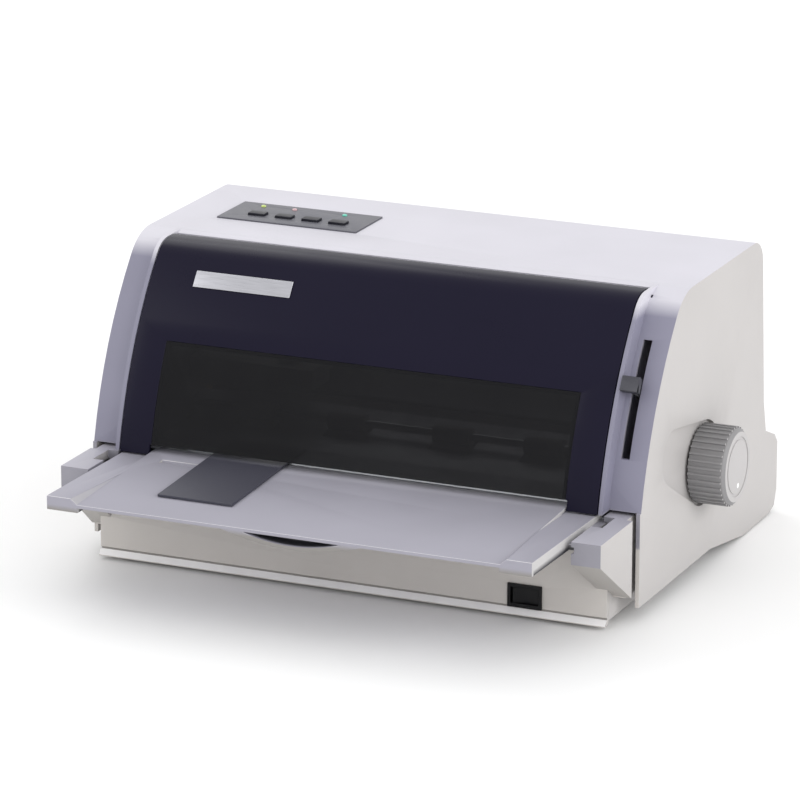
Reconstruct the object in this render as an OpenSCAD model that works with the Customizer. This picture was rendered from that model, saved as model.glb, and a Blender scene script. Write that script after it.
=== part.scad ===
// Desk-top flatbed dot matrix printer for cut sheets, 80 columns wide.
// Every piece is a separate closed solid, in millimetres, with +Z up and the front facing -Y.
// Lengths are taken from the middle of the case (x), from the front edge of its side walls (y)
// and from the table top it stands on (z). piece() then moves the whole printer so that the
// origin lies under the middle of its overall box.

/* [Case] */
// Width over the side walls
case_w = 360; // [344:1:380]
// Height of the level top
case_h = 186; // [182:1:194]
// Thickness of the moulded case walls
case_wall = 2.5; // [2:0.1:3]
// Distance from the front edge of the side walls to where the top starts to bend down
bend_y = 82; // [80:1:88]
// Radius of that bend
bend_r = 34; // [30:1:38]
// Radius of the long curve of the front
front_r = 252; // [240:1:270]
// Slope of the front where the bend ends, in degrees
bend_deg = 49; // [47:1:51]
// Height of the foot of the front curve
cheek_foot_z = 68; // [66:1:70]
// Height of the lower edge of the side walls
side_foot_z = 10; // [8:1:12]
// Rear wall, measured at its upper edge
rear_top_y = 206; // [204:1:214]
// Rear wall, measured at its foot
rear_foot_y = 213; // [211:1:222]
// Rear face of the lower rear skirt
skirt_y = 240; // [236:1:252]
// Height of the top of the rear skirt
skirt_top_z = 58; // [54:1:60]

/* [Front cover] */
// Width of each cheek beside the front cover
cheek_w = 23.5; // [23.5:0.5:27.5]
// How far the cover stands proud of the cheeks
cover_proud = 11; // [9:0.5:12]
// Thickness of the cover shell
cover_wall = 3; // [2.4:0.1:3.6]
// Height of the feet of the cover's two legs
leg_foot_z = 67.6; // [67.4:0.1:69]
// Height of the lower edge between the legs
cover_foot_z = 73.7; // [73:0.1:76]
// Width of each leg beside the window
leg_w = 20.5; // [16:0.5:24]
// Height of the top edge of the window
window_top_z = 133.5; // [120:0.5:140]
// Radius of the rounded bead along the hinge line
bead_r = 6; // [5:0.5:7]
// Radius of the cover's hinge pins
cover_pin_r = 2.5; // [2:0.1:3]
// Width of the bare badge plate
badge_w = 65; // [50:1:80]
// Height of the bare badge plate
badge_h = 8.5; // [6:0.5:10]

/* [Paper table] */
// Distance from each side wall to the edge of the pull-off paper table
table_inset = 24.3; // [24:0.1:27]
// How far the table reaches in front of the side walls
table_reach = 107.5; // [95:0.5:120]
// Width of each raised side rim
rim_w = 20.4; // [20.4:0.1:24]
// Width of the rims' level upper face, outside their sloping inner edge
rim_top_w = 15.8; // [14:0.1:17]
// Height of the rims' upper face at the front
rim_top_z = 68; // [67:0.5:70]
// Depth of the rims
rim_h = 8.5; // [8:0.5:10]
// Height of the paper surface at the front lip
table_front_z = 64.5; // [63:0.5:66]
// Height of the paper surface at the rear end
table_rear_z = 69.5; // [68:0.5:69.5]
// Thickness of the table plate
table_t = 2.2; // [1.8:0.1:2.8]
// Width of the sliding paper guide
guide_w = 49; // [40:1:56]
// Distance of the paper guide at rest from the table's left rim
guide_inset = 38.3; // [35:0.1:45]
// Travel of the paper guide to the left
guide_travel = 30; // [20:1:32]
// Length of the finger pocket under the front lip of the table
finger_slot_w = 62; // [50:1:80]

/* [Shoulders and base] */
// How far each shoulder stays inside the side walls
shoulder_inset = 2; // [1:0.5:5]
// How far the right shoulder reaches in front of the side walls
shoulder_reach = 57.5; // [50:0.5:62]
// How far the left shoulder reaches in front of the side walls
left_shoulder_reach = 46.5; // [42:0.5:57]
// Height of the shoulder tops
shoulder_z = 66; // [64:0.5:66]
// Distance from each side wall to the end of the base
base_inset = 13.3; // [12.5:0.1:17]
// How far the base front stands before the side walls
base_reach = 17.5; // [14:0.5:20]
// Height of the underside of the base
base_z = 5; // [4:0.5:6]
// Thickness of the base walls
base_wall = 2.5; // [2:0.1:3]
// Radius of the four rubber feet
foot_r = 9; // [7:0.5:11]

/* [Platen and paper feed] */
// Distance of the platen axis from the front edge of the side walls
platen_y = 106; // [105:0.5:107]
// Height of the platen axis
platen_z = 69.5; // [69:0.1:70]
// Radius of the rubber platen
platen_r = 12; // [11:0.1:12.2]
// Distance from each side frame to the rubber of the platen
platen_inset = 28; // [27:0.5:35]
// Radius of the platen shaft
shaft_r = 4; // [3.5:0.1:4.5]
// Radius of the hand knob
knob_r = 24.5; // [22:0.5:25]
// How far the knob stands out of the side wall
knob_reach = 22; // [16:1:26]
// Number of grip ribs round the knob
knob_ribs = 36; // [24:1:48]
// Distance of the front feed roller's axis from the front edge of the side walls
feed_y = 60; // [59:0.5:61]
// Radius of the front feed rollers
feed_r = 8; // [7.6:0.1:8.2]
// Radius of the pinch rollers above them
pinch_r = 5.5; // [5:0.1:6]
// Gear module
gear_m = 1.5; // [1.4:0.05:1.5]
// Teeth of the platen gear
platen_teeth = 24; // [22:1:24]
// Teeth of the idler gear and of the feed gear
idler_teeth = 16; // [16:1:17]
// Teeth of the feed motor's pinion
pinion_teeth = 12; // [12:1:14]
// Width of the gears
gear_w = 6; // [5:0.5:7]

/* [Carriage] */
// Distance from the left side frame to the middle of the parked carriage
park_inset = 46; // [46:0.5:52]
// Height of the guide rod's axis
rod_z = 112; // [110:1:114]
// Distance of the guide rod's axis from the front edge of the side walls
rod_y = 140; // [138:0.5:141]
// Radius of the guide rod
rod_r = 5; // [4:0.5:6]
// Width of the carriage
carriage_w = 56; // [48:1:60]
// Width of the ribbon cartridge
ribbon_w = 84; // [70:1:84]
// Gap between the print head's nose and the platen
head_gap = 0.8; // [0.6:0.1:1.2]
// Radius of the belt pulleys
pulley_r = 8; // [7:0.5:9]
// Distance of the belt pulleys from the side frames
pulley_inset = 24; // [23:0.5:26]
// Width of the timing belt
belt_w = 6; // [5:0.5:7]
// Thickness of the timing belt
belt_t = 1.4; // [1:0.1:1.8]

/* [Control panel] */
// Width of the control panel
panel_w = 95; // [90:1:100]
// Depth of the control panel
panel_d = 41; // [38:1:44]
// Distance from the left side wall to the middle of the control panel
panel_inset = 78.5; // [75:0.5:82]
// Middle of the control panel, from the front edge of the side walls
panel_y = 134; // [131:0.5:137]
// Distance between the buttons
button_pitch = 18.4; // [16:0.1:20]
// Width of a button
button_w = 11; // [9:0.5:13]
// Depth of a button
button_d = 7; // [6:0.5:8]
// Travel of a button
button_travel = 1.2; // [0.8:0.1:1.5]

/* [Gap lever] */
// Distance of the lever slot from the right side wall
lever_inset = 14; // [13:0.5:15]
// Width of the slot in the cheek
slot_w = 5.5; // [5:0.1:7]
// Height of the slot's lower end
slot_low_z = 97; // [94:1:100]
// Height of the slot's upper end
slot_high_z = 161; // [158:1:164]
// Distance of the lever's pivot behind the slot
lever_throw = 60; // [56:1:62]

/* [Hidden] */
$fn = 96;

// Clearances
gap = 0.8;              // between the cover and the case round it
run = 0.3;              // between pieces that slide past each other
fit = 0.05;             // between a shaft and its bore, on the radius
far = 400;              // longer than any cut

// Middle of the overall box, from which piece() measures
frame_x = knob_reach / 2;
frame_y = (skirt_y - table_reach) / 2;

// Case outline
front_c = [bend_y + (front_r - bend_r) * sin(bend_deg), case_h - bend_r - (front_r - bend_r) * cos(bend_deg)];
rear_r = 16;            // corner between the top and the rear wall
rear_foot_z = 78;       // where the rear wall starts to flare into the skirt
foot_rise_y = 120;      // where the lower edge of the side walls starts to fall to the ground
foot_fall_y = 180;      // where it gets there
ground_gap = 0.8;       // clearance of the rear feet of the side walls above the ground
case_half = case_w / 2;
cover_w = case_w - 2 * cheek_w;
table_w = case_w - 2 * table_inset;
shoulder_w = case_w - 2 * shoulder_inset;
base_w = case_w - 2 * base_inset;

// Cover outline, concentric with the cheeks
cover_r = front_r + cover_proud;
crown_r = 20;           // bend at the top of the cover
crown_z = case_h - crown_r;
crown_y = front_c.x - sqrt(pow(cover_r - crown_r, 2) - pow(crown_z - front_c.y, 2));
crown_deg = acos((crown_z - front_c.y) / (cover_r - crown_r));
hinge_y = crown_y + bead_r;
hinge_z = case_h - bead_r;
top_edge_y = hinge_y + bead_r + gap;    // front edge of the level top, behind the cover
cover_half = cover_w / 2;
opening_half = cover_half + gap;
lip_t = 2.5;            // wall that frames the cover on each side
lip_depth = 41;         // how deep that wall reaches behind the cover
window_half = cover_half - leg_w;
ledge = 3;              // width of the ledge that the window pane rests on
pane_depth = 1.8;       // depth of that ledge behind the face of the cover
pane_play = 0.1;        // play of the pane in its pocket

badge_inset = 29.5;     // from the left edge of the cover
badge_drop = 17.7;      // from the top of the case to the middle of the badge
badge_x = badge_inset + badge_w / 2 - cover_half;
badge_z = case_h - badge_drop;

// Paper table
table_half = table_w / 2;
surface_half = table_half - rim_w + 1;  // half width of the paper surface between the rims
rail_w = 5.3;           // tongue on each side of the table that runs in the shoulder
rail_z = 59;
rail_h = 3.5;
rail_start = 5.5;       // from the front of each shoulder to the front end of its tongue
table_end_y = 0;
guide_t = 1.6;
guide_x = guide_inset + rim_w - table_half;     // left edge of the guide
guide_front_y = -78;
guide_end_y = 26;
guide_slot_y = -21;     // slot in the table that the guide's peg runs in
peg_r = 2;
peg_x = guide_x + 6;
peg_low_z = table_front_z - 1;
rim_rear_z = leg_foot_z - 1.2;
rim_fall = rim_top_z - table_front_z + 0.3;     // drop of the rims' inner slope, to just under the paper
table_slope = atan2(table_rear_z - table_front_z, table_reach + table_end_y);
lip_z = table_front_z - table_t;        // underside of the front lip
grip_x = 3.7;           // middle of the finger pocket
grip_w = finger_slot_w + 30;
grip_h = 7.5;
grip_d = 12;
finger_slot_h = 4.6;
finger_slot_d = 10;

// Shoulders and base
shoulder_half = shoulder_w / 2;
shoulder_in = table_half + 3.8;
shoulder_low_z = 52;    // underside at the front of the shoulders
shoulder_root_z = 18;   // underside where they meet the side walls
seam = 7;               // gap between the shoulders and the side walls
notch_w = 7;            // notch in the shoulders at the foot of the cheeks
notch_d = 19;
shoulder_inner_half = case_half - case_wall - 3;    // shoulders' root inside the case
base_half = base_w / 2;
base_rear_y = 228;
plinth_out = 3;         // how far the foot of the base front flares out
plinth_low_z = 2.4;
plinth_top_z = 6.2;
deck_z = 52;            // shelf under the table
deck_y = 10;            // rear edge of that shelf
spigot_r = 3;           // spigots of the rubber feet
foot_inset = 26.7;      // from the end of the base to the middle of a foot
foot_x = base_half - foot_inset;
foot_front_y = 8;
foot_rear_y = 205;
boss_r = 5;
boss_x = base_half + boss_r + run;      // case screws, outside the base's end walls
screw_r = 1.5;
screw_y = [40, 190];
boss_seat_z = 18;       // where the bosses of both cases meet
ear_low_z = 8;          // underside of the lower case's ears
screw_head_z = 12;
floor_z = base_z + base_wall;

// Frames
frame_inset = 30;       // from each side wall to the inner face of the steel side frame
frame_half = case_half - frame_inset;
frame_t = 1.6;
frame_foot_z = 12;
frame_front_y = 14;
frame_rear_y = 200;
frame_top_z = 138;
flange_w = 13;          // width of the frames' feet
stay_y = frame_front_y + 6;
stay_z = frame_foot_z + 4;
stay_h = 30;
stay_d = 14;

// Circuit boards on the base
board_z = 14;
board_t = 1.6;
board_rear_y = 208;
main_board_low = [10 - frame_half, 62];
main_board_high = [-2, board_rear_y];
supply_low = [34, 92];
supply_high = [frame_half - 4, board_rear_y];

// Components, placed from the left front corner of their board
processor_at = [50, 58, 0];
processor_size = [28, 28, 3.5];
memory_at = [90, 28, 0];
memory_size = [16, 50, 3.5];
socket_at = [10, 22, 0];
socket_size = [8, 66, 10];
supply_w = supply_high.x - supply_low.x;
transformer_at = [16, 12, 0];
transformer_size = [supply_w - 62, 42, 34];
heat_sink_at = [16, 68, 0];
heat_sink_size = [supply_w - 72, 4, 29];
capacitor_x = [supply_w - 30, supply_w - 14];
capacitor_y = 28;
capacitor_r = 7;
capacitor_h = 25;

// Paper path
path_y = [2, 30, 92];
path_z = [table_rear_z - 0.2, table_rear_z + 1, platen_z + platen_r - 0.5];
path_t = 1.2;
function path_at(y) = y < path_y[1]
    ? path_z[0] + (path_z[1] - path_z[0]) * (y - path_y[0]) / (path_y[1] - path_y[0])
    : path_z[1] + (path_z[2] - path_z[1]) * (y - path_y[1]) / (path_y[2] - path_y[1]);
feed_z = path_at(feed_y) + 0.6 - feed_r;
pinch_z = feed_z + feed_r + run + pinch_r;
roller_in = 35;
roller_out = frame_half - 55;
roller_x = [-roller_out, -roller_in, roller_in, roller_out];
roller_w = 24;
exit_z = 86;            // paper exit in the rear wall
exit_h = 9;
exit_half = frame_half - 15;

// Gear train, on the outer side of the left frame
gear_x = -frame_half - frame_t - 2.4;
shaft_end_x = gear_x - gear_w - 1.5;    // left ends of the shafts that carry gears
a_platen_idler = gear_m * (platen_teeth + idler_teeth) / 2;
a_idler_feed = gear_m * (idler_teeth + idler_teeth) / 2;
a_platen_pinion = gear_m * (platen_teeth + pinion_teeth) / 2;
feed_dir = atan2(feed_z - platen_z, feed_y - platen_y);
a_platen_feed = norm([feed_y - platen_y, feed_z - platen_z]);
idler_off = acos((pow(a_platen_idler, 2) + pow(a_platen_feed, 2) - pow(a_idler_feed, 2))
    / (2 * a_platen_idler * a_platen_feed));
idler_dir = feed_dir + idler_off;
idler_y = platen_y + a_platen_idler * cos(idler_dir);
idler_z = platen_z + a_platen_idler * sin(idler_dir);
pinion_dir = -37;
pinion_y = platen_y + a_platen_pinion * cos(pinion_dir);
pinion_z = platen_z + a_platen_pinion * sin(pinion_dir);
idler_feed_dir = atan2(feed_z - idler_z, feed_y - idler_y);
motor_r = 16.5;
motor_len = 22;

// Knob and its dish
knob_out = case_half + knob_reach;
dish_deep = 3;
dish_floor = case_half - dish_deep;
knob_in = dish_floor + 1.5;
knob_bore = 12;         // depth of the bore for the shaft
dish_r = knob_r + 2;
dish_front = [53, 88, 17];      // y, z and radius of the dish's front end

// Platen and carriage
platen_len = 2 * (frame_half - platen_inset);
park_x = frame_half - park_inset;
pulley_x = frame_half - pulley_inset;
rail_z0 = 134;          // rear rail that the carriage's shoe slides on
web_y = 158.5;          // front face of the rear rail's web
sheet = 1.5;
rail_d = 13.5;
belt_y = rod_y + 11;    // front edge of the belt
nose_z = platen_z + platen_r + head_gap;
head_half = 17;

plate_z = 92;           // underside of the carriage's front plate
plate_front_y = 66;
pinch_shaft_r = 2.5;
motor_shaft_r = 2.5;
motor_boss_r = 6;
stud_r = 3;
bush_r = 8;
shroud_z = leg_foot_z + 8.8;
shroud_rear_y = 56;

// Control panel
panel_x = panel_inset - case_half;
panel_t = 3;
panel_proud = 0.8;
button_y = panel_y - 5.5;
led_y = panel_y + 13;
led_x = [panel_x - 31, panel_x - 9.5, panel_x + 25];
led_r = 1.6;
button_x = [for (k = [0:3]) panel_x + (k - 1.5) * button_pitch + 1.5];
panel_rim = 3;          // rim of the panel that rests on the case
panel_seat = 1.4;       // depth of the recess that the rim rests in
panel_low_z = case_h + panel_proud - panel_t - 1;
panel_board_z = case_h - 16;
panel_board_top = panel_board_z + board_t;
switch_top = 4;         // height of the small switches on that board
stem_r = 1.8;           // stem of a button
stem_depth = 1;
button_top_z = case_h + panel_proud + 1.4;
button_flange_z = panel_low_z - run;

// Power switch
switch_inset = 52.1;    // from the right end of the base
switch_x = base_half - switch_inset;
switch_z = 14.1;
switch_w = 21.8;
switch_h = 14.6;
rocker_deg = 7;
rocker_half = 8;
rocker_h = 9.4;
rocker_pin_r = 1.2;
rocker_pivot = 5;       // behind the face of the base

// Gap lever: pivots behind the middle of its slot
lever_x = case_half - lever_inset;
function front_at(z, r) = front_c.x - sqrt(pow(r, 2) - pow(z - front_c.y, 2));
slot_low = [front_at(slot_low_z, front_r), slot_low_z];
slot_high = [front_at(slot_high_z, front_r), slot_high_z];
slot_mid = (slot_low + slot_high) / 2;
slot_len = norm(slot_high - slot_low);
slot_dir = (slot_high - slot_low) / slot_len;
lever_pivot = slot_mid + lever_throw * [slot_dir.y, -slot_dir.x];
lever_reach = norm([lever_throw, slot_len / 2]);
lever_deg = atan2(slot_dir.x, -slot_dir.y);     // direction of the lever at mid slot
lever_rest = -4.5;      // the lever rests this far above the middle of its slot
cap_w = 11;
lever_pin_r = 3;
lever_t = 2.5;

// Rear sockets
inlet_x = frame_half - 32;
inlet_z = 30;
inlet_w = 27;
inlet_h = 21;
port_x = main_board_low.x + 60;
port_w = 55.6;
port_h = 17.6;
port_z = board_z + board_t + 0.2 + port_h / 2;

// ---------------------------------------------------------------- helpers

module piece(tint) color(tint) translate([-frame_x, -frame_y, 0]) children();

// Extrudes an outline drawn in y and z from x0 to x1.
module along_x(x0, x1) translate([x0, 0, 0]) rotate([90, 0, 90]) linear_extrude(x1 - x0) children();

module box(low, high) translate(low) cube(high - low);

module rod_x(x0, x1, y, z, r) translate([x0, y, z]) rotate([0, 90, 0]) cylinder(r = r, h = x1 - x0);

module rod_y(y0, y1, x, z, r) translate([x, y1, z]) rotate([90, 0, 0]) cylinder(r = r, h = y1 - y0);

module both_sides() {
    children();
    mirror([1, 0, 0]) children();
}

// Points on an arc; angles run from straight up towards the front.
function arc(c, r, a0, a1, n) = [for (k = [0:n]) let (a = a0 + (a1 - a0) * k / n) c + r * [-sin(a), cos(a)]];

function foot_angle(r, z) = acos((z - front_c.y) / r);

// Front curve of the case, i inside its outer face.
function case_front(i) = concat(
    arc(front_c, front_r - i, foot_angle(front_r - i, cheek_foot_z), bend_deg, 8),
    arc([bend_y, case_h - bend_r], bend_r - i, bend_deg, 0, 8));

// Top rear corner and rear wall, i inside their outer faces.
function case_rear(i) = concat(
    arc([rear_top_y - rear_r, case_h - rear_r], rear_r - i, 0, -85, 6),
    [[rear_foot_y - i, rear_foot_z], [rear_foot_y + 5 - i, skirt_top_z - i],
     [skirt_y - 5 - i, skirt_top_z - 7 - i], [skirt_y - i, skirt_top_z - 13], [skirt_y - i, 14]]);

function case_outline() = concat([[0, side_foot_z], [0, cheek_foot_z]], case_front(0), case_rear(0),
    [[skirt_y - 4, 4], [skirt_y - 12, ground_gap + 0.6], [foot_fall_y, ground_gap],
     [foot_rise_y, side_foot_z]]);

function case_inside() = concat([[case_wall, -5], [case_wall, cheek_foot_z]], case_front(case_wall),
    case_rear(case_wall), [[skirt_y - case_wall, -5]]);

// Front curve and crown of the cover, i inside its outer face.
function cover_curve(i) = concat(
    arc(front_c, cover_r - i, foot_angle(cover_r - i, leg_foot_z), crown_deg, 9),
    arc([crown_y, crown_z], crown_r - i, crown_deg, 0, 5));

function reversed(p) = [for (k = [len(p) - 1:-1:0]) p[k]];

// Band of the cover between two depths, from its foot to the hinge line.
module cover_band(i0, i1) polygon(concat(cover_curve(i0),
    [[hinge_y, case_h - i0], [hinge_y, case_h - i1]], reversed(cover_curve(i1))));

// Sheet steel side frame, drawn in y and z.
module frame_plate() polygon([[frame_front_y, frame_foot_z], [frame_front_y, feed_z - 10],
    [frame_front_y + 22, pinch_z + 10], [frame_front_y + 30, frame_top_z], [frame_rear_y - 28, frame_top_z],
    [frame_rear_y - 4, rod_z - 8], [frame_rear_y, feed_z - 8], [frame_rear_y, frame_foot_z]]);

// One tooth of an involute gear and the gear itself; teeth start on the +x axis.
function involute(rb, t) = rb * [cos(t) + t * PI / 180 * sin(t), sin(t) - t * PI / 180 * cos(t)];
function turned(p, a) = [p.x * cos(a) - p.y * sin(a), p.x * sin(a) + p.y * cos(a)];
function gear_outline(teeth, backlash = 0.16) = let (
    rp = gear_m * teeth / 2,
    rb = rp * cos(20),
    ra = rp + 0.9 * gear_m,
    rf = rp - 1.15 * gear_m,
    inv = tan(20) * 180 / PI - 20,
    half = 90 / teeth - backlash / 2 / rp * 180 / PI + inv,
    t0 = 0,
    t1 = sqrt(pow(ra / rb, 2) - 1) * 180 / PI)
    [for (k = [0:teeth - 1]) let (a = k * 360 / teeth) each concat(
        [turned([rf, 0], a - half)],
        [for (s = [0:3]) turned(involute(rb, t0 + (t1 - t0) * s / 3), a - half)],
        [for (s = [3:-1:0]) let (q = involute(rb, t0 + (t1 - t0) * s / 3)) turned([q.x, -q.y], a + half)],
        [turned([rf, 0], a + half)])];

// Gear on the left frame with its bore, turned by phase degrees.
module gear(teeth, y, z, bore, phase) along_x(gear_x - gear_w, gear_x) translate([y, z]) difference() {
    rotate(phase) polygon(gear_outline(teeth));
    circle(r = bore);
}

// Phases that put the teeth in mesh: a tooth of one gear faces a gap of the next.
platen_phase = idler_dir;
idler_phase = idler_dir + 180 + 180 / idler_teeth;
idler_feed_off = (idler_feed_dir - idler_phase) / (360 / idler_teeth);
feed_phase = idler_feed_dir + 180 + 180 / idler_teeth
    + (idler_feed_off - floor(idler_feed_off)) * 360 / idler_teeth;
platen_pinion_off = (pinion_dir - platen_phase) / (360 / platen_teeth);
pinion_phase = pinion_dir + 180 + 180 / pinion_teeth
    + (platen_pinion_off - floor(platen_pinion_off)) * 360 / pinion_teeth;

// ---------------------------------------------------------------- case

case_white = [0.86, 0.86, 0.88];
table_grey = [0.80, 0.80, 0.84];
dark_grey = [0.30, 0.30, 0.35];
black = [0.08, 0.08, 0.09];
steel = [0.72, 0.73, 0.75];
zinc = [0.62, 0.64, 0.66];

// Shallow dish behind the knob, drawn in y and z: a closed outline round two circles.
module dish(grow) {
    function around(c, r, a0, a1) =
        [for (k = [0:32]) let (a = a0 + (a1 - a0) * k / 32) c + r * [cos(a), sin(a)]];
    knob_c = [platen_y, platen_z];
    tip_c = [dish_front[0], dish_front[1]];
    knob_rr = dish_r + grow;
    tip_rr = dish_front[2] + grow;
    line = atan2(tip_c.y - knob_c.y, tip_c.x - knob_c.x);
    turn = acos((knob_rr - tip_rr) / norm(tip_c - knob_c));
    polygon(concat(around(tip_c, tip_rr, line - turn, line + turn),
        around(knob_c, knob_rr, line + turn, line + 360 - turn)));
}

// Wall that frames the cover: flush with the cover in front and joined to the case behind it.
module lip_outline() difference() {
    polygon(concat(cover_curve(0), [[top_edge_y + 6, case_h], [top_edge_y + 6, leg_foot_z]]));
    translate(front_c) circle(r = cover_r - lip_depth, $fn = 180);
}

module upper_case() piece(case_white) difference() {
    union() {
        difference() {
            along_x(-case_half, case_half) polygon(case_outline());
            along_x(-case_half + case_wall, case_half - case_wall) polygon(case_inside());
            box([-opening_half, -far, -1], [opening_half, top_edge_y, far]);
            both_sides() box([opening_half - 1, -1, -1], [case_half - case_wall, 20, cheek_foot_z]);
        }
        both_sides() along_x(opening_half, opening_half + lip_t) lip_outline();
        along_x(dish_floor - case_wall, case_half - 0.5) dish(case_wall);
        // bosses of the case screws
        both_sides() for (y = screw_y) {
            translate([boss_x, y, boss_seat_z]) cylinder(r = boss_r, h = 20);
            box([boss_x, y - 1, boss_seat_z], [case_half - 1, y + 1, boss_seat_z + 20]);
        }
        // posts that hold the control panel's circuit board
        panel_corners(1) translate([0, 0, panel_board_z + board_t])
            cylinder(r = 2.5, h = case_h - panel_board_z - board_t - 1);
    }
    // dish and shaft hole for the hand knob
    along_x(dish_floor, case_half + 1) dish(0);
    rod_x(dish_floor - 10, case_half + 1, platen_y, platen_z, shaft_r + 2);
    // hinge bores of the cover
    rod_x(-opening_half - lip_t - 1, opening_half + lip_t + 1, hinge_y, hinge_z, cover_pin_r + fit);
    // slot of the gap lever, along the cheek
    along_x(lever_x - slot_w / 2, lever_x + slot_w / 2)
        polygon([slot_low + [-14, 0], slot_high + [-14, 0], slot_high + [8, 0], slot_low + [8, 0]]);
    // window for the control panel
    panel_block(-panel_rim, case_h - 10, case_h + 1);
    panel_block(run, case_h - panel_seat, case_h + 1);
    // paper exit and the sockets in the rear
    box([-exit_half, rear_top_y - 20, exit_z], [exit_half, rear_foot_y + 10, exit_z + exit_h]);
    box([inlet_x - inlet_w / 2 - 1.5, skirt_y - 20, inlet_z - inlet_h / 2 - 2.5],
        [inlet_x + inlet_w / 2 + 1.5, skirt_y + 1, inlet_z + inlet_h / 2 + 2.5]);
    box([port_x - port_w / 2 - 0.2, skirt_y - 20, port_z - port_h / 2 - 0.2],
        [port_x + port_w / 2 + 0.2, skirt_y + 1, port_z + port_h / 2 + 0.2]);
    // threads of the case screws
    both_sides() for (y = screw_y) translate([boss_x, y, -1]) cylinder(r = screw_r, h = boss_seat_z + 15);
}

module lower_case() piece(case_white) difference() {
    union() {
        // floor, front, end walls and rear wall
        box([-base_half, -base_reach + 2.5, base_z], [base_half, base_rear_y, floor_z]);
        along_x(-base_half, base_half) polygon([[-base_reach + 2.5, base_z], [-base_reach, base_z + 2.5],
            [-base_reach, deck_z], [deck_y, deck_z], [deck_y, deck_z - base_wall],
            [-base_reach + base_wall, deck_z - base_wall], [-base_reach + base_wall, base_z + 2.5],
            [-base_reach + 4, base_z]]);
        both_sides() box([base_half - base_wall, -base_reach + 3, base_z], [base_half, base_rear_y, 40]);
        both_sides() box([base_half - base_wall, -base_reach + 1, 38], [base_half, 12, deck_z]);
        box([-base_half, base_rear_y - base_wall, base_z], [base_half, base_rear_y, board_z + board_t - run]);
        // flared foot of the base front
        along_x(-base_half, base_half) polygon([[-base_reach, plinth_top_z],
            [-base_reach - plinth_out, plinth_low_z + 0.6], [-base_reach - plinth_out, plinth_low_z],
            [-base_reach + base_wall, plinth_low_z], [-base_reach + base_wall, plinth_top_z]]);
        shoulder(shoulder_reach);
        mirror([1, 0, 0]) shoulder(left_shoulder_reach);
        // feet of the side frames
        for (y = [frame_front_y + 10, platen_y, frame_rear_y - 10]) both_sides()
            translate([frame_half + flange_w / 2, y, floor_z - 1])
                cylinder(r = 4.5, h = frame_foot_z - floor_z + 1);
        board_posts(main_board_low, main_board_high);
        board_posts(supply_low, supply_high);
        // ears that the case screws pass through
        both_sides() for (y = screw_y) {
            translate([boss_x, y, ear_low_z]) cylinder(r = boss_r, h = boss_seat_z - ear_low_z);
            box([base_half - 1, y - boss_r, ear_low_z], [boss_x, y + boss_r, boss_seat_z]);
        }
    }
    shoulder_cuts(shoulder_reach);
    mirror([1, 0, 0]) shoulder_cuts(left_shoulder_reach);
    // power switch
    box([switch_x - switch_w / 2 + 1, -base_reach - 1, switch_z - switch_h / 2 + 1],
        [switch_x + switch_w / 2 - 1, -base_reach + 5, switch_z + switch_h / 2 - 1]);
    // clearance holes of the case screws
    both_sides() for (y = screw_y) {
        translate([boss_x, y, -1]) cylinder(r = screw_r + 0.3, h = boss_seat_z + 2);
        translate([boss_x, y, -1]) cylinder(r = 3.6, h = screw_head_z + 1);
    }
    // spigots of the rubber feet
    at_feet() cylinder(r = spigot_r, h = floor_z + 1);
}

module at_feet() for (x = [-foot_x, foot_x], y = [foot_front_y, foot_rear_y]) translate([x, y, 0]) children();

// Four posts under the corners of a circuit board that lies between two points.
module board_posts(low, high) for (x = [low.x + 8, high.x - 8], y = [low.y + 8, high.y - 8])
    translate([x, y, floor_z - 1]) cylinder(r = 3.5, h = board_z - floor_z + 1);

// Right shoulder with its root inside the case.
module shoulder(reach) {
    along_x(shoulder_in, shoulder_half) polygon([[-reach, shoulder_z],
        [-reach, shoulder_low_z], [-seam, shoulder_root_z], [-seam, shoulder_z]]);
    box([shoulder_in, -seam - 1, shoulder_root_z], [shoulder_inner_half, 12, shoulder_z]);
}

module shoulder_cuts(reach) {
    shoulder_hollow(reach);
    // groove for the table's tongue
    box([shoulder_in - 1, -reach - 1, rail_z - run], [table_half + rail_w + run, 4, rail_z + rail_h + run]);
    // open notch at the foot of the cheek
    box([shoulder_in - 1, -seam - notch_d, rail_z - 8], [shoulder_in + notch_w, -seam + 1, shoulder_z + 1]);
}

// Space inside one shoulder, open to the inside of the case.
module shoulder_hollow(reach) {
    slope = (shoulder_low_z - shoulder_root_z) / (reach - seam);
    y0 = -reach + base_wall;
    roof = shoulder_z - base_wall - 3;
    along_x(table_half + rail_w + run + base_wall, shoulder_inner_half - base_wall) polygon([
        [y0, roof], [y0, shoulder_low_z - slope * base_wall + 3.5],
        [-seam, shoulder_root_z + 3], [13, shoulder_root_z + 3], [13, roof]]);
}

module rubber_feet() piece(dark_grey) at_feet() {
    cylinder(r = foot_r, h = base_z);
    cylinder(r = spigot_r, h = floor_z);
}

module case_screws() piece(zinc) both_sides() for (y = screw_y) translate([boss_x, y, screw_head_z]) {
    translate([0, 0, -2.4]) cylinder(r = 3.2, h = 2.4);
    translate([0, 0, -0.5]) cylinder(r = screw_r - 0.02, h = 20);
}

// ---------------------------------------------------------------- front cover

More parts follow.
